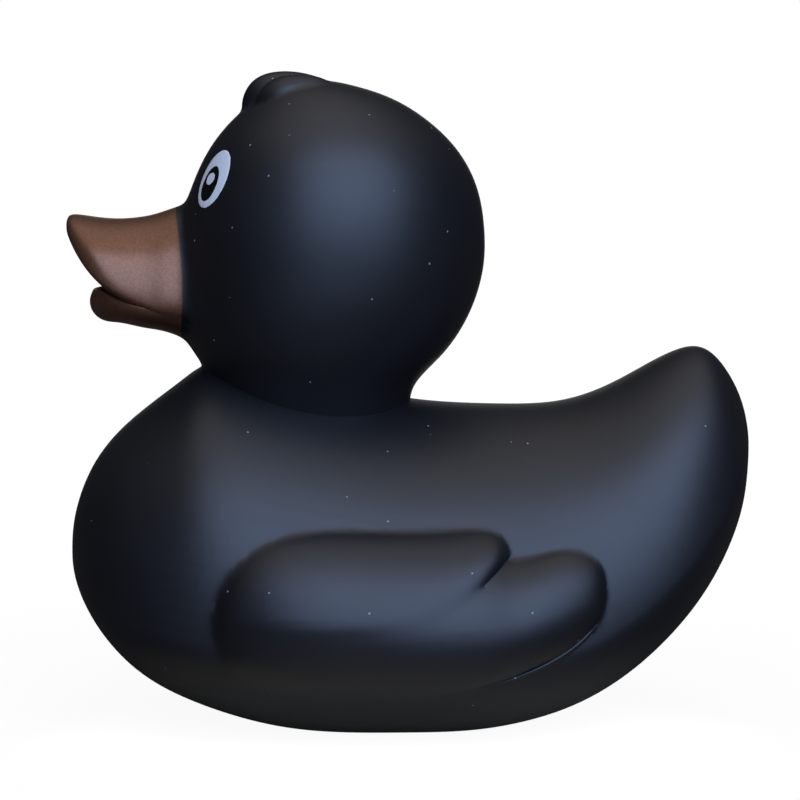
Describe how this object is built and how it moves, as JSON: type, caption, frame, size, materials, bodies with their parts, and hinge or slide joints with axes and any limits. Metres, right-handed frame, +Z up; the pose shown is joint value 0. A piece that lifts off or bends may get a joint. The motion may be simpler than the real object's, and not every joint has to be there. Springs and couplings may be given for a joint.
{
  "type": "rubber duck",
  "caption": "Floating toy duck: hollow soft vinyl shell with a painted bill and a squeaker pressed into its flat base.",
  "frame": {"origin": "centre of the bounding box in X and Y, on the flat base that the duck rests on", "axes": "+X towards the tail, so the bill points along -X; +Z up; Y = 0 is the plane of symmetry"},
  "size_m": [0.0848, 0.0682, 0.0811],
  "materials": {
    "black_vinyl": "satin moulded soft vinyl",
    "squeaker_plastic": "moulded, unpainted"
  },
  "bodies": {
    "root": {"duck_shell": "black_vinyl", "squeaker": "squeaker_plastic"}
  },
  "joints": []
}
